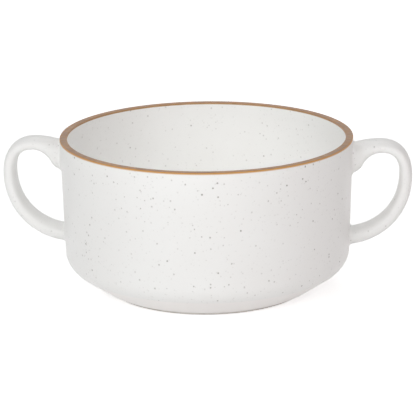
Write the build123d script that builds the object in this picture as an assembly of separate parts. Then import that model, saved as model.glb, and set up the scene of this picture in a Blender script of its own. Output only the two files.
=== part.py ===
from build123d import *
import os
from math import cos, radians, sin, tan

os.makedirs("parts", exist_ok=True)

# Two-handled stoneware soup bowl, in millimetres.
# The origin is the centre of the foot ring's resting plane, +Z is up, the handles lie on X.

# Bowl body, outside
height = 70.4                  # resting plane to the top of the lip
lip_radius = 66.5              # outside of the lip
wall_draft = 1.52              # degrees that the wall closes in towards the foot
heel_height = 9.6              # where the wall's line meets the heel's underside
heel_rounding = 12.3           # turn between the two
foot_radius = 46.65            # outside of the foot ring
foot_height = 4.3              # resting plane to the crease under the heel
crease_radius = 2.2            # hollow of the crease
foot_width = 5.2               # foot ring, across its resting face and rounded edges
foot_edge_radius = 0.9         # rounding beside the resting face
recess_depth = 3.2             # underside of the floor above the resting plane
recess_slope = 2.2             # how far the ring's inner side leans in
recess_radius = 2.0            # hollow where the ring meets the underside

# Bowl body, inside
lip_thickness = 3.4            # wall at the lip
wall_growth = 1.4              # how much thicker the wall is at the floor
floor_thickness = 5.2          # floor over the recess
floor_radius = 13.0            # hollow between floor and wall

# Brown band fired over the lip
band_drop_outside = 0.55       # how far it wraps down the outside
band_drop_inside = 0.75        # how far it wraps down the inside
lip_outer_rounding = 0.33
lip_inner_rounding = 0.5

# Handle strap, in side view: reaches are measured out from the wall
strap_width = 12.6
arch_thickness = 5.8           # strap over the arch
shoulder_thickness = 5.5       # strap in the upper outer bend
outer_thickness = 6.0          # strap at its outermost point
bend_thickness = 6.7           # strap in the lower bend
lower_root_thickness = 7.6     # strap where it meets the wall again
arch_reach = 12.5              # wall to the top of the arch
arch_rise = 1.65               # arch above the upper root's top edge
arch_pull = 7.9                # how long the strap keeps level after the arch
outer_reach = 23.9             # wall to the outermost point of the centreline
outer_drop = 17.5              # lip to the outermost point
shoulder_pull = 8.0            # how long it runs upright above that point
drop_pull = 16.0               # how long it runs upright below that point
return_pull = 14.1             # how straight it runs into the lower root
return_slope = 7.0             # degrees that it falls into the lower root
lower_root_rise = 14.4         # middle of the lower root above the heel

# Upper root: a lug that hangs under the strap and fades into it
root_width = 13.0
root_height = 14.4             # lug at the wall
lug_reach = 3.6                # wall to the fullest part of the lug
lug_height = 12.3              # there
neck_reach = 5.6               # wall to the hollow between lug and strap
neck_height = 9.2              # there
web_reach = 9.0                # wall to where the lug has faded into the strap
web_height = 6.7               # there

# Luting slip that joins each handle end to the wall
slip_thickness = 0.35
seam_radius = 1.4              # concave fillet of slip round each root
seam_clearance = 1.0           # kept under the brown band by the upper root's fillet
root_sink = 2.8                # how far the cast strap runs on before it is cut to the wall

# Sections that shape each bend of the strap
upper_bend_count = 3
lower_bend_count = 4

# Worked out from the sizes above
draft_slope = tan(radians(wall_draft))
floor_level = recess_depth + floor_thickness
heel_radius = lip_radius - (height - heel_height) * draft_slope
inner_lip_radius = lip_radius - lip_thickness
inner_floor_radius = inner_lip_radius - wall_growth - (height - floor_level) * draft_slope
band_foot_outside = (lip_radius - band_drop_outside * draft_slope, height - band_drop_outside)
band_foot_inside = (inner_lip_radius, height - band_drop_inside)
root_top = height - band_drop_outside - seam_radius - seam_clearance
root_face = lip_radius - (height - root_top) * draft_slope
lower_root_level = heel_height + lower_root_rise
lower_root_face = heel_radius + lower_root_rise * draft_slope


def turned(outline):
    # Profiles are drawn as (radius, level) and start behind the axis, clear of the handles
    return revolve(Plane.YZ * make_face(outline), Axis.Z)


def outer_form(growth):
    # All that lies inside the outer skin from heel to lip, grown outwards by a layer
    skin = FilletPolyline(
        (foot_radius, foot_height - growth),
        (heel_radius + growth, heel_height - growth),
        (lip_radius + growth, height),
        radius=heel_rounding,
    )
    core = Polyline(skin @ 1, (0, height), (0, foot_height - growth), skin @ 0)
    return turned(Curve() + [skin, core])


def make_bowl_body():
    ring_inner_radius = foot_radius - foot_width
    outside = FilletPolyline(
        (0, recess_depth),
        (ring_inner_radius - recess_slope, recess_depth),
        (ring_inner_radius, 0),
        (foot_radius, 0),
        (foot_radius, foot_height),
        (heel_radius, heel_height),
        band_foot_outside,
        radius=[recess_radius, foot_edge_radius, foot_edge_radius, crease_radius, heel_rounding],
    )
    # The wall ends in the sloping seat that carries the brown band
    seat = Line(band_foot_outside, band_foot_inside)
    inside = FilletPolyline(
        band_foot_inside,
        (inner_floor_radius, floor_level),
        (0, floor_level),
        radius=floor_radius,
    )
    axis = Line(inside @ 1, outside @ 0)
    return turned(Curve() + [outside, seat, inside, axis])


def make_rim_band():
    crown = FilletPolyline(
        band_foot_outside,
        (lip_radius, height),
        (inner_lip_radius, height),
        band_foot_inside,
        radius=[lip_outer_rounding, lip_inner_rounding],
    )
    seat = Line(band_foot_inside, band_foot_outside)
    return turned(Curve() + [crown, seat])


def strap_section(x, z, heading, thickness, width):
    # An oval across the strap, square to its heading
    across = Plane(origin=(x, 0, z), x_dir=(0, 1, 0), z_dir=(heading.X, 0, heading.Y))
    return across * Ellipse(width / 2, thickness / 2)


def through(first, middle, last, share):
    # A smooth change of size that passes through three values
    return (
        first * (1 - share) * (1 - 2 * share)
        + middle * 4 * share * (1 - share)
        + last * share * (2 * share - 1)
    )


def upper_root_sections():
    outwards = Vector(1, 0)
    stations = [
        (-root_sink, root_height + root_sink, root_width),
        (0, root_height, root_width),
        (lug_reach, lug_height, root_width),
        (neck_reach, neck_height, root_width),
        (web_reach, web_height, strap_width),
    ]
    sections = []
    for reach, tall, wide in stations:
        top = root_top + arch_rise * (1 - (1 - reach / arch_reach) ** 2)
        sections.append(strap_section(root_face + reach, top - tall / 2, outwards, tall, wide))
    return sections


def bend_sections(curve, count, first, middle, last):
    sections = []
    for step in range(count):
        share = step / count
        place = curve @ share
        thickness = through(first, middle, last, share)
        sections.append(strap_section(place.X, place.Y, curve % share, thickness, strap_width))
    return sections


def make_handle_blank():
    # The whole strap as it is cast, with ends that run on into the wall
    arch = Vector(root_face + arch_reach, root_top + arch_rise - arch_thickness / 2)
    outermost = Vector(root_face + outer_reach, height - outer_drop)
    lower_root = Vector(lower_root_face, lower_root_level)
    back = Vector(cos(radians(return_slope)), sin(radians(return_slope)))
    upper_bend = Bezier(
        arch, arch + Vector(arch_pull, 0), outermost + Vector(0, shoulder_pull), outermost
    )
    lower_bend = Bezier(
        outermost, outermost - Vector(0, drop_pull), lower_root + back * return_pull, lower_root
    )
    sections = upper_root_sections()
    sections += bend_sections(
        upper_bend, upper_bend_count, arch_thickness, shoulder_thickness, outer_thickness
    )
    sections += bend_sections(
        lower_bend, lower_bend_count, outer_thickness, bend_thickness, lower_root_thickness
    )
    for place in (lower_root, lower_root - back * root_sink):
        sections.append(strap_section(place.X, place.Y, back * -1, lower_root_thickness, strap_width))
    return loft(sections)


def make_seams(blank, handle, wall):
    # Slip fills the joint between strap and wall, and stands round it as a concave fillet
    luted = wall + blank
    joined = fillet(new_edges(wall, blank, combined=luted), seam_radius)
    return (joined - wall - handle).solids().sort_by(Axis.Z)


blank = make_handle_blank()
handle = blank - outer_form(slip_thickness)
lower_seam, upper_seam = make_seams(blank, handle, outer_form(0))

nodes = {
    "bowl_body": make_bowl_body(),
    "rim_band": make_rim_band(),
    "right_handle": handle,
    "right_upper_seam": upper_seam,
    "right_lower_seam": lower_seam,
    "left_handle": mirror(handle, Plane.YZ),
    "left_upper_seam": mirror(upper_seam, Plane.YZ),
    "left_lower_seam": mirror(lower_seam, Plane.YZ),
}

for name, solid in nodes.items():
    export_step(solid, "parts/" + name + ".step")
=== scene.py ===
import math

import bmesh
import bpy
from mathutils import Matrix, Quaternion, Vector
from mathutils.geometry import interpolate_bezier


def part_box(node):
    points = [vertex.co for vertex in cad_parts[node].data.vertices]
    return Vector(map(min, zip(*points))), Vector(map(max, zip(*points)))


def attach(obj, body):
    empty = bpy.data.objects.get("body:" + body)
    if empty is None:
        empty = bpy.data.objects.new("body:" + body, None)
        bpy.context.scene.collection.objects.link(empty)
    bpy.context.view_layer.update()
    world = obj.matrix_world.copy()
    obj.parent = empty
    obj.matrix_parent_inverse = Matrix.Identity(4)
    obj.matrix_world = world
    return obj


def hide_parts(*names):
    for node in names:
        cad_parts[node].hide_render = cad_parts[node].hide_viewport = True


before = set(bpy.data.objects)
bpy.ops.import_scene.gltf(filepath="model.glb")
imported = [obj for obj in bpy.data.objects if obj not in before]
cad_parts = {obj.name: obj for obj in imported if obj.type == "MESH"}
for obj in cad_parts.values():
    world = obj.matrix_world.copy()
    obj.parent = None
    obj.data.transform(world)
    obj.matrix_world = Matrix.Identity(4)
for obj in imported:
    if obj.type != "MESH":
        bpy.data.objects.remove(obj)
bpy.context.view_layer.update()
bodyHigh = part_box("bowl_body")[1]
lipLow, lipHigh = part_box("rim_band")
print("frame loaded:", len(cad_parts), "nodes")


# materials

def feed(tree, socket, value):
    if isinstance(value, bpy.types.NodeSocket):
        tree.links.new(value, socket)
    else:
        socket.default_value = value


def setInputs(tree, node, inputs):
    for name, value in inputs.items():
        feed(tree, node.inputs[name], value)


def addNode(tree, kind, inputs=None, **settings):
    node = tree.nodes.new("ShaderNode" + kind)
    for name, value in settings.items():
        setattr(node, name, value)
    setInputs(tree, node, inputs or {})
    return node


def newMaterial(name):
    material = bpy.data.materials.new(name)
    material.use_nodes = True
    tree = material.node_tree
    return material, tree, tree.nodes["Principled BSDF"]


def arithmetic(tree, operation, first, second):
    return addNode(tree, "Math", {0: first, 1: second}, operation=operation).outputs[0]


def product(tree, value, *factors):
    for factor in factors:
        value = arithmetic(tree, "MULTIPLY", value, factor)
    return value


def vectorMath(tree, operation, inputs, output="Vector"):
    return addNode(tree, "VectorMath", inputs, operation=operation).outputs[output]


def remap(tree, value, start, end, low=0.0, high=1.0, ease="SMOOTHSTEP"):
    return addNode(tree, "MapRange", {
        "Value": value, "From Min": start, "From Max": end, "To Min": low, "To Max": high,
    }, interpolation_type=ease).outputs["Result"]


def noise(tree, coords, grain, detail, output="Fac"):
    # grain is the size of one patch, in metres
    inputs = {"Vector": coords, "Scale": 1 / grain, "Detail": detail}
    return addNode(tree, "TexNoise", inputs).outputs[output]


def patchwork(tree, coords, pattern, low=0.0, high=1.0):
    # a pattern is grain, detail, and the span of the noise that goes from low to high
    grain, detail, start, end = pattern
    return remap(tree, noise(tree, coords, grain, detail), start, end, low, high)


def mixColours(tree, factor, first, second):
    mix = addNode(tree, "Mix", data_type="RGBA")
    sockets = [socket for socket in mix.inputs if socket.enabled]
    for socket, value in zip(sockets, (factor, first, second)):
        feed(tree, socket, value)
    return next(socket for socket in mix.outputs if socket.enabled)


def surfaceNormal(tree):
    return addNode(tree, "NewGeometry").outputs["Normal"]


def heightOf(tree, vector):
    return addNode(tree, "SeparateXYZ", {"Vector": vector}).outputs["Z"]


def levelled(tree, vector):
    return vectorMath(tree, "MULTIPLY", {0: vector, 1: (1, 1, 0)})


facing = {
    "wholeInside": -0.03,         # a surface that looks at the axis from this far off
}


def facingOut(tree, coords):
    # 1 where the surface looks away from the bowl's middle, 0 where it looks in
    across = levelled(tree, surfaceNormal(tree))
    outward = vectorMath(tree, "DOT_PRODUCT", {0: coords, 1: across}, "Value")
    return remap(tree, outward, facing["wholeInside"], 0.0)


glazeLook = {
    "white": (0.902, 0.901, 0.887, 1),
    "thinWhite": (0.893, 0.889, 0.873, 1),
    "coatPattern": (0.030, 4.0, 0.35, 0.65),
    "speck": (0.17, 0.145, 0.12, 1),
    # cell, dot radius, weakest and strongest dot
    "dots": [
        (0.0039, 0.00062, 0.40, 1.0),
        (0.0031, 0.00048, 0.20, 0.52),
        (0.0018, 0.00050, 0.05, 0.20),
    ],
    "dotCore": 0.2,               # share of a dot's radius that is at full strength
    "raggedGrain": 0.0007,        # unevenness of the dots' edges
    "raggedDetail": 1.0,
    "raggedDepth": 0.0003,
    "clusterPattern": (0.020, 2.0, 0.38, 0.62),
    "sparseSpecks": 0.45,         # how strong specks are between clusters
    "insideSpecks": 0.6,          # inside the bowl
    "handleSpecks": 0.6,          # and on the handles
    "handleFade": 0.005,          # reached this far out from the lip
    "lipTint": (0.62, 0.36, 0.16, 1),
    "lipBleed": 0.0004,           # how far the brown fades into the white beside the band
    "lipStain": 0.8,              # how strong it is there outside
    "insideStain": 0.6,           # and inside, as a share of that
    # warmer and lighter than the white: the clay under a thinner coat, and painted warm bounce
    # light
    "footTintAndBounce": (0.935, 0.912, 0.893, 1),
    "footTintLevel": 0.0109,      # below this the clay warms the thinner coat on the cone, and the same tint is painted warm bounce light
    "footTintFade": 0.0008,
    "paintedBounceFacing": (0.3, -0.1),    # it comes in as the surface turns down, as painted warm bounce light
    "clayAndShadowColour": (0.62, 0.585, 0.545, 1),
    "clayAndShadowLevel": 0.0016,          # bare clay comes in below this, and between the glaze's stop and this level its colour is a painted contact shadow
    "roughness": (0.36, 0.48),
    "roughPattern": (0.006, 3.0, 0.3, 0.7),
    "peelGrain": 0.0016,
    "peelDetail": 2.0,
    "peelDepth": 0.00002,
    "peelStrength": 0.6,
}


def addSpecks(tree, coords, outward, look):
    # balls of iron spot through the glaze, cut by the surface
    ragged = noise(tree, coords, look["raggedGrain"], look["raggedDetail"], "Color")
    ragged = vectorMath(tree, "SUBTRACT", {0: ragged, 1: (0.5, 0.5, 0.5)})
    ragged = vectorMath(tree, "SCALE", {0: ragged, "Scale": look["raggedDepth"]})
    speckCoords = vectorMath(tree, "ADD", {0: coords, 1: ragged})
    clusters = patchwork(tree, coords, look["clusterPattern"], look["sparseSpecks"], 1.0)
    inside = remap(tree, outward, 0.0, 1.0, look["insideSpecks"], 1.0)
    fromAxis = vectorMath(tree, "LENGTH", {0: levelled(tree, coords)}, "Value")
    handleEnd = lipHigh.x + look["handleFade"]
    handles = remap(tree, fromAxis, lipHigh.x, handleEnd, 1.0, look["handleSpecks"])
    clusters = product(tree, clusters, inside, handles)
    specks = None
    for cell, radius, weakest, strongest in look["dots"]:
        dots = addNode(tree, "TexVoronoi", {"Vector": speckCoords, "Scale": 1 / cell})
        edge = radius / cell
        dot = remap(tree, dots.outputs["Distance"], edge, look["dotCore"] * edge)
        pick = addNode(tree, "SeparateColor", {"Color": dots.outputs["Color"]}).outputs["Red"]
        strength = remap(tree, pick, 0.0, 1.0, weakest, strongest, "LINEAR")
        dot = product(tree, dot, strength, clusters)
        specks = dot if specks is None else arithmetic(tree, "MAXIMUM", specks, dot)
    return specks


def speckledGlaze(look):
    material, tree, shader = newMaterial("speckled_glaze")
    coords = addNode(tree, "TexCoord").outputs["Object"]
    outward = facingOut(tree, coords)
    level = heightOf(tree, coords)

    # the coat varies a little in thickness
    patches = patchwork(tree, coords, look["coatPattern"])
    colour = mixColours(tree, patches, look["white"], look["thinWhite"])
    colour = mixColours(tree, addSpecks(tree, coords, outward, look), colour, look["speck"])

    bleed = remap(tree, level, lipLow.z - look["lipBleed"], bodyHigh.z, 0.0, look["lipStain"])
    bleed = product(tree, bleed, remap(tree, outward, 0.0, 1.0, look["insideStain"], 1.0))
    colour = mixColours(tree, bleed, colour, look["lipTint"])

    # a thinner coat on the cone under the heel, lit where it turns down by painted warm bounce
    # light, and bare clay where the foot rests
    thinFrom = look["footTintLevel"]
    thin = remap(tree, level, thinFrom, thinFrom - look["footTintFade"])
    paintedBounceMask = remap(tree, heightOf(tree, surfaceNormal(tree)), *look["paintedBounceFacing"])
    colour = mixColours(tree, product(tree, thin, paintedBounceMask), colour, look["footTintAndBounce"])
    # bare clay where the foot rests, carried up past the glaze's stop as a painted contact shadow
    # in the clay's colour
    clayAndPaintedShadow = remap(tree, level, look["clayAndShadowLevel"], 0.0)
    colour = mixColours(tree, clayAndPaintedShadow, colour, look["clayAndShadowColour"])

    rough = patchwork(tree, coords, look["roughPattern"], *look["roughness"])
    peel = noise(tree, coords, look["peelGrain"], look["peelDetail"])
    bump = addNode(tree, "Bump", {
        "Height": peel, "Distance": look["peelDepth"], "Strength": look["peelStrength"],
    })
    setInputs(tree, shader, {
        "Base Color": colour,
        "Roughness": arithmetic(tree, "MAXIMUM", rough, clayAndPaintedShadow),
        "Normal": bump.outputs["Normal"],
    })
    return material


lipLook = {
    "crown": (0.256, 0.132, 0.058, 1),
    "outerEdge": (0.57, 0.278, 0.073, 1),
    "innerEdge": (0.40, 0.222, 0.100, 1),
    "crownFacing": (0.72, 0.99),  # the crown's colour comes in as the surface turns level
    "edgePattern": (0.004, 4.0, 0.35, 0.65),
    "edgePatches": 0.3,           # how strongly the edge's colour shows through in patches
    "roughness": (0.34, 0.5),
    "roughPattern": (0.002, 3.0, 0.3, 0.7),
    "shine": 0.33,
}


def brownLip(look):
    material, tree, shader = newMaterial("brown_lip")
    coords = addNode(tree, "TexCoord").outputs["Object"]
    edge = mixColours(tree, facingOut(tree, coords), look["innerEdge"], look["outerEdge"])
    flat = remap(tree, heightOf(tree, surfaceNormal(tree)), *look["crownFacing"])
    colour = mixColours(tree, flat, edge, look["crown"])
    patches = patchwork(tree, coords, look["edgePattern"], 0.0, look["edgePatches"])
    setInputs(tree, shader, {
        "Base Color": mixColours(tree, patches, colour, edge),
        "Roughness": patchwork(tree, coords, look["roughPattern"], *look["roughness"]),
        "Specular IOR Level": look["shine"],
    })
    return material


glaze = speckledGlaze(glazeLook)
lipGlaze = brownLip(lipLook)
print("finishes made")


# pieces

turning = {
    "steps": 240,
    "arcSegments": 8,             # fewest on a rounded corner
    "arcStep": 0.0006,            # and the length of one on a large one
    "arcProfile": 0.5,            # a round one
    "longestRun": 0.004,
    "mergeDistance": 0.000002,
    "sharpAngle": math.radians(50),
}


def addObject(name, data):
    added = bpy.data.objects.new(name, data)
    bpy.context.scene.collection.objects.link(added)
    return added


def addMesh(name, bm, material):
    mesh = bpy.data.meshes.new(name)
    bm.to_mesh(mesh)
    bm.free()
    mesh.materials.append(material)
    return addObject(name, mesh)


def finishPiece(name, bm, material, node):
    bmesh.ops.remove_doubles(bm, verts=bm.verts, dist=turning["mergeDistance"])
    bmesh.ops.recalc_face_normals(bm, faces=bm.faces)
    piece = addMesh(name, bm, material)
    piece.data.shade_smooth()
    piece.data.set_sharp_from_angle(angle=turning["sharpAngle"])
    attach(piece, "root")
    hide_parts(node)
    print(name, "made:", len(piece.data.polygons), "faces")


def roundCorner(bm, corner, rounding):
    sides = [edge.other_vert(corner).co - corner.co for edge in corner.link_edges]
    angle = sides[0].angle(sides[1])
    arc = rounding * (math.pi - angle)
    bmesh.ops.bevel(
        bm, geom=[corner], offset=rounding / math.tan(angle / 2), offset_type="OFFSET",
        affect="VERTICES", segments=max(turning["arcSegments"], int(arc / turning["arcStep"])),
        profile=turning["arcProfile"], material=-1,
    )


def drawOutline(bm, outline, closed=False):
    # each corner is radius, level and the radius that it is rounded to
    corners = [bm.verts.new((radius, 0, level)) for radius, level, _ in outline]
    for first, second in zip(corners, corners[1:]):
        bm.edges.new((first, second))
    if closed:
        bm.edges.new((corners[-1], corners[0]))
    for corner, (_, _, rounding) in zip(corners, outline):
        if rounding:
            roundCorner(bm, corner, rounding)


def turnOutline(bm):
    # long straight runs are divided first, so that the shading stays even
    for edge in list(bm.edges):
        cuts = int(edge.calc_length() / turning["longestRun"])
        if cuts:
            bmesh.ops.subdivide_edges(bm, edges=[edge], cuts=cuts)
    bmesh.ops.spin(
        bm, geom=bm.verts[:] + bm.edges[:], cent=(0, 0, 0), axis=(0, 0, 1),
        angle=2 * math.pi, steps=turning["steps"], use_merge=True,
    )


bowl = {
    "lipRadius": 0.0665,
    "draft": math.tan(math.radians(1.52)),
    # under the wall: radius, level and rounding of each turn on the way out from the foot
    "heel": [
        (0.0495, 0.0021, 0.0015),
        (0.0615, 0.0104, 0.0015),
    ],
    "heelHeight": 0.0138,         # where the wall ends
    "heelRounding": 0.0080,
    "footRadius": 0.04665,
    "footInner": 0.04145,
    "footHeight": 0.0016,
    "creaseRadius": 0.0006,
    "recessDepth": 0.0032,
    "recessSlope": 0.0022,
    "recessRadius": 0.0020,
    "restInset": 0.0008,          # bare resting face, in from the ring's sides
    "glazeStop": 0.0009,          # height where the glaze ends above it
    "glazeCoat": 0.00022,         # step that the glaze makes there
    "glazeRound": 0.00018,
    "wallAtLip": 0.0034,
    "wallGrowth": 0.0014,
    "floorLevel": 0.0084,
    "coveRadius": 0.0130,
}


def wallRadius(level):
    return bowl["lipRadius"] - (lipHigh.z - level) * bowl["draft"]


def makeBowl(dims):
    inner = dims["lipRadius"] - dims["wallAtLip"]
    innerFloor = inner - dims["wallGrowth"] - (lipHigh.z - dims["floorLevel"]) * dims["draft"]
    coat, stop, inset = dims["glazeCoat"], dims["glazeStop"], dims["restInset"]
    lean = dims["recessSlope"] / dims["recessDepth"]
    outline = [
        (0, dims["recessDepth"], 0),
        (dims["footInner"] - dims["recessSlope"], dims["recessDepth"], dims["recessRadius"]),
        (dims["footInner"] - stop * lean, stop, dims["glazeRound"]),
        (dims["footInner"] - stop * lean + coat, stop, 0),
        (dims["footInner"] + inset, 0, dims["glazeRound"]),
        (dims["footRadius"] - inset, 0, dims["glazeRound"]),
        (dims["footRadius"] - coat, stop, 0),
        (dims["footRadius"], stop, dims["glazeRound"]),
        (dims["footRadius"], dims["footHeight"], dims["creaseRadius"]),
        *dims["heel"],
        (wallRadius(dims["heelHeight"]), dims["heelHeight"], dims["heelRounding"]),
        (wallRadius(bodyHigh.z), bodyHigh.z, 0),     # the seat under the brown band
        (inner, lipLow.z, 0),
        (innerFloor, dims["floorLevel"], dims["coveRadius"]),
        (0, dims["floorLevel"], 0),
    ]
    bm = bmesh.new()
    drawOutline(bm, outline)
    turnOutline(bm)
    finishPiece("glazedBowl", bm, glaze, "bowl_body")


lip = {
    "outerRounding": 0.00033,
    "innerRounding": 0.0005,
}


def makeLip(dims):
    inner = bowl["lipRadius"] - bowl["wallAtLip"]
    bm = bmesh.new()
    drawOutline(bm, [
        (wallRadius(bodyHigh.z), bodyHigh.z, 0),
        (bowl["lipRadius"], lipHigh.z, dims["outerRounding"]),
        (inner, lipHigh.z, dims["innerRounding"]),
        (inner, lipLow.z, 0),
    ], closed=True)
    turnOutline(bm)
    finishPiece("brownLip", bm, lipGlaze, "rim_band")


makeBowl(bowl)
makeLip(lip)


strap = {
    "segments": 48,
    "fullness": 0.77,             # 1 gives an oval section, less a squarer one
    "width": 0.0126,
    "rootWidth": 0.0130,
    "archThickness": 0.0058,
    "shoulderThickness": 0.0055,
    "outerThickness": 0.0060,
    "bendThickness": 0.0067,
    "endThickness": 0.0076,
    "archReach": 0.0125,          # wall to the top of the arch
    "archRise": 0.00165,
    "archPull": 0.0079,
    "outerReach": 0.0239,         # wall to the outermost point of the centreline
    "outerDrop": 0.0175,
    "shoulderPull": 0.0080,
    "dropPull": 0.0160,
    "returnPull": 0.0141,
    "returnSlope": math.radians(7.0),
    "endLevel": 0.0240,
    "rootTop": 0.06745,
    # lug under the strap: reach from the wall and height there
    "lug": [
        (-0.0025, 0.0169),
        (0.0, 0.0144),
        (0.0036, 0.0123),
        (0.0056, 0.0092),
        (0.0090, 0.0067),
        (0.0125, 0.0058),
        (0.016, 0.0057),
    ],
    "rootRings": 22,
    "upperRings": 20,
    "lowerRings": 36,
    "hugReach": 0.0045,           # the strap's end takes the wall's curve within this
    "slip": 0.00035,
    "seamRadius": 0.0014,
    "seamRings": 8,
}


def clamp(share):
    return min(1, max(0, share))


def smoothThrough(points, at):
    # a curve without corners through (place, size) pairs
    spot = max(1, min(len(points) - 3, sum(place <= at for place, _ in points) - 1))
    (x0, y0), (x1, y1), (x2, y2), (x3, y3) = points[spot - 1:spot + 3]
    span = x2 - x1
    t = (at - x1) / span
    leave = (y2 - y0) / (x2 - x0) * span
    arrive = (y3 - y1) / (x3 - x1) * span
    return (
        y1 * (1 + 2 * t) * (1 - t) ** 2 + leave * t * (1 - t) ** 2
        + y2 * t ** 2 * (3 - 2 * t) + arrive * t ** 2 * (t - 1)
    )


def between(first, middle, last, share):
    return (
        first * (1 - share) * (1 - 2 * share) + middle * 4 * share * (1 - share)
        + last * share * (2 * share - 1)
    )


# a station is the strap's place and heading in side view, and its thickness and width there

def lugStation(dims, reach):
    tall = smoothThrough(dims["lug"], reach)
    top = dims["rootTop"] + dims["archRise"] * (1 - (1 - reach / dims["archReach"]) ** 2)
    fade = clamp(reach / dims["archReach"])
    width = dims["rootWidth"] + (dims["width"] - dims["rootWidth"]) * fade
    place = Vector((wallRadius(dims["rootTop"]) + reach, top - tall / 2))
    return place, Vector((1, 0)), tall, width


def endStation(dims, reach):
    back = Vector((math.cos(dims["returnSlope"]), math.sin(dims["returnSlope"])))
    end = Vector((wallRadius(dims["endLevel"]), dims["endLevel"]))
    return end + back * reach, -back, dims["endThickness"], dims["width"]


def bendStations(curve, rings, sizes, width):
    stations = []
    for step in range(rings):
        heading = (curve[step + 1] - curve[max(step - 1, 0)]).normalized()
        stations.append((curve[step], heading, between(*sizes, step / rings), width))
    return stations


def strapStations(dims):
    arch = lugStation(dims, dims["archReach"])[0]
    outerRadius = wallRadius(dims["rootTop"]) + dims["outerReach"]
    outermost = Vector((outerRadius, lipHigh.z - dims["outerDrop"]))
    end, heading = endStation(dims, 0)[:2]
    upper = interpolate_bezier(
        arch, arch + Vector((dims["archPull"], 0)), outermost + Vector((0, dims["shoulderPull"])),
        outermost, dims["upperRings"] + 1,
    )
    lower = interpolate_bezier(
        outermost, outermost - Vector((0, dims["dropPull"])), end - heading * dims["returnPull"],
        end, dims["lowerRings"] + 1,
    )
    upperSizes = dims["archThickness"], dims["shoulderThickness"], dims["outerThickness"]
    lowerSizes = dims["outerThickness"], dims["bendThickness"], dims["endThickness"]
    reachStep = (dims["archReach"] - dims["slip"]) / dims["rootRings"]
    reaches = [dims["slip"] + reachStep * step for step in range(dims["rootRings"])]
    return [
        *(lugStation(dims, reach) for reach in reaches),
        *bendStations(upper, dims["upperRings"], upperSizes, dims["width"]),
        *bendStations(lower, dims["lowerRings"], lowerSizes, dims["width"]),
        endStation(dims, dims["slip"]),
    ]


def strapRing(bm, dims, station, reach, grow=0.0):
    place, heading, thickness, width = station
    across = Vector((0, 1, 0))
    along = Vector((heading.x, 0, heading.y))
    turn = Matrix((across, along.cross(across), along)).transposed().to_4x4()
    size = Matrix.Diagonal((width / 2 + grow, thickness / 2 + grow, 1, 1))
    spot = Matrix.Translation((place.x, 0, place.y))
    ring = bmesh.ops.create_circle(bm, segments=dims["segments"], radius=1)["verts"]
    for vert in ring:
        vert.co.x = math.copysign(abs(vert.co.x) ** dims["fullness"], vert.co.x)
        vert.co.y = math.copysign(abs(vert.co.y) ** dims["fullness"], vert.co.y)
    bmesh.ops.transform(bm, matrix=spot @ turn @ size, verts=ring)
    hug = clamp(1 - reach / dims["hugReach"])
    hug = hug * hug * (3 - 2 * hug)
    for vert in ring:
        skin = wallRadius(vert.co.z) + reach
        vert.co.x += (math.sqrt(skin ** 2 - vert.co.y ** 2) - vert.co.x) * hug
    return list(dict.fromkeys(edge for vert in ring for edge in vert.link_edges))


def finishRings(name, node, side, bm, rings):
    for first, second in zip(rings, rings[1:]):
        bmesh.ops.bridge_loops(bm, edges=first + second)
    bmesh.ops.holes_fill(bm, edges=bm.edges[:], sides=0)
    bmesh.ops.scale(bm, verts=bm.verts, vec=(side, 1, 1))
    finishPiece(name, bm, glaze, node)


def makeStrap(name, node, side, dims):
    bm = bmesh.new()
    rings = []
    for station in strapStations(dims):
        place = station[0]
        rings.append(strapRing(bm, dims, station, place.x - wallRadius(place.y)))
    finishRings(name, node, side, bm, rings)


def makeSeam(name, node, side, dims, stationAt):
    # a cup of slip round the strap's end, with a concave fillet out to the wall
    radius = dims["seamRadius"]
    bm = bmesh.new()
    rings = [strapRing(bm, dims, stationAt(dims, dims["slip"]), dims["slip"])]
    for step in range(dims["seamRings"] + 1):
        turn = math.pi / 2 * step / dims["seamRings"]
        reach = radius - radius * math.sin(turn)
        grow = radius - radius * math.cos(turn)
        rings.append(strapRing(bm, dims, stationAt(dims, reach), reach, grow))
    finishRings(name, node, side, bm, rings)


for word, side in (("right", 1), ("left", -1)):
    makeStrap(word + "Strap", word + "_handle", side, strap)
    makeSeam(word + "LugSeam", word + "_upper_seam", side, strap, lugStation)
    makeSeam(word + "EndSeam", word + "_lower_seam", side, strap, endStation)


# floor, light and camera

stageLook = {
    "floorSize": 4.0,
    "floorDrop": 0.00005,         # keeps the foot's face off the floor's
    "floorColour": (0.94, 0.94, 0.94, 1),
    "floorRoughness": 0.9,
    "floorShine": 0.0,
    "floorGlow": 0.56,
    "backdrop": (1, 1, 1, 1),
    "backdropLight": 1.0,         # strength of the world where it is seen
    "worldLight": 0.197,          # and where it lights the part
    "lampAim": Vector((0, 0, 0.04)),
}


def seenDirectly(tree):
    # camera, mirror and glass rays, which see the white backdrop
    path = addNode(tree, "LightPath")
    seen = arithmetic(tree, "MAXIMUM", path.outputs["Is Camera Ray"], path.outputs["Is Glossy Ray"])
    return arithmetic(tree, "MAXIMUM", seen, path.outputs["Is Transmission Ray"])


def makeFloor(look):
    material, tree, shader = newMaterial("pale_floor")
    setInputs(tree, shader, {
        "Base Color": look["floorColour"],
        "Roughness": look["floorRoughness"],
        "Specular IOR Level": look["floorShine"],
        "Emission Color": look["backdrop"],
        "Emission Strength": product(tree, seenDirectly(tree), look["floorGlow"]),
    })
    bm = bmesh.new()
    bmesh.ops.create_grid(bm, x_segments=1, y_segments=1, size=look["floorSize"] / 2)
    bmesh.ops.translate(bm, verts=bm.verts, vec=(0, 0, -look["floorDrop"]))
    floor = addMesh("floor", bm, material)


def makeWorld(look):
    world = bpy.data.worlds.new("studio")
    bpy.context.scene.world = world
    world.use_nodes = True
    tree = world.node_tree
    strengths = look["worldLight"], look["backdropLight"]
    setInputs(tree, tree.nodes["Background"], {
        "Color": look["backdrop"],
        "Strength": remap(tree, seenDirectly(tree), 0.0, 1.0, *strengths, "LINEAR"),
    })


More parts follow.
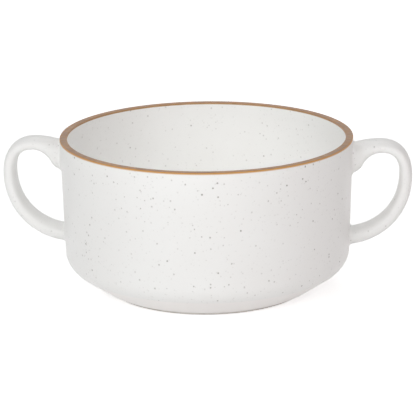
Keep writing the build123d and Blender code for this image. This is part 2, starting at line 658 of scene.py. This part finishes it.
def fromBearing(bearing, height, distance):
    # degrees round from the front, to the right, and degrees up from level
    level = math.cos(math.radians(height))
    return distance * Vector((
        math.sin(math.radians(bearing)) * level,
        -math.cos(math.radians(bearing)) * level,
        math.sin(math.radians(height)),
    ))


def addAimed(name, data, place, aim, roll=0.0):
    added = addObject(name, data)
    added.location = place
    added.rotation_mode = "QUATERNION"
    towards = (aim - place).to_track_quat("-Z", "Y")
    added.rotation_quaternion = towards @ Quaternion((0, 0, 1), roll)
    return added


lamps = {
    # bearing, height angle, distance, width, height, watts, colour
    "keySoftbox": (-35, 21, 1.6, 1.15, 1.15, 7.8, (1.0, 1.0, 1.0)),
    "fillSoftbox": (35, 21, 1.6, 1.15, 1.15, 5.1, (1.0, 0.985, 0.98)),
    "lowStrip": (0, 1.5, 1.2, 1.2, 0.12, 3.2, (1.0, 1.0, 1.0)),
    "leftSoftbox": (-90, 55, 1.6, 1.2, 1.2, 2.6, (1.0, 1.0, 1.0)),
    "rightSoftbox": (90, 55, 1.6, 1.2, 1.2, 1.4, (1.0, 1.0, 1.0)),
    "backSoftbox": (180, 55, 1.6, 1.2, 1.2, 6.2, (1.0, 1.0, 1.0)),
    "warmCard": (80, 12, 1.2, 0.5, 0.5, 0.4, (1.0, 0.35, 0.38)),
}


def makeLamp(name, bearing, height, distance, width, tall, watts, colour):
    light = bpy.data.lights.new(name, "AREA")
    light.shape = "RECTANGLE"
    light.size, light.size_y = width, tall
    light.energy = watts
    light.color = colour
    addAimed(name, light, fromBearing(bearing, height, distance), stageLook["lampAim"])


mouthLamp = {
    # a spot over the front of the lip, kept off it, that lights the inside
    "bearing": -7,
    "height": 64,
    "distance": 0.8,
    "aim": Vector((0, 0.004, 0.066)),
    "reach": 0.062,               # radius of its pool of light in the mouth
    "softEdge": 0.35,
    "radius": 0.015,
    "watts": 11.3,
}


def makeMouthLamp(look):
    light = bpy.data.lights.new("mouthLamp", "SPOT")
    light.spot_size = 2 * math.atan(look["reach"] / look["distance"])
    light.spot_blend = look["softEdge"]
    light.shadow_soft_size = look["radius"]
    light.energy = look["watts"]
    place = look["aim"] + fromBearing(look["bearing"], look["height"], look["distance"])
    addAimed("mouthLamp", light, place, look["aim"])


photoView = {
    "centre": Vector((0, 0, 0.033)),
    "bearing": 4.5,               # the right handle is the nearer one
    "height": 16.25,
    "distance": 1.0,
    "aim": Vector((0.0004, 0, 0.03585)),
    "roll": math.radians(-0.594),
    "lens": 188.87,
    "sensor": 36.0,
}


def makeCamera(view):
    data = bpy.data.cameras.new("photoCamera")
    data.lens = view["lens"]
    data.sensor_width = view["sensor"]
    data.sensor_fit = "HORIZONTAL"
    place = view["centre"] + fromBearing(view["bearing"], view["height"], view["distance"])
    camera = addAimed("photoCamera", data, place, view["aim"], view["roll"])
    bpy.context.scene.camera = camera


makeFloor(stageLook)
makeWorld(stageLook)
for name, setting in lamps.items():
    makeLamp(name, *setting)
makeMouthLamp(mouthLamp)
makeCamera(photoView)
bpy.context.scene.view_settings.view_transform = "Standard"
print("stage set")
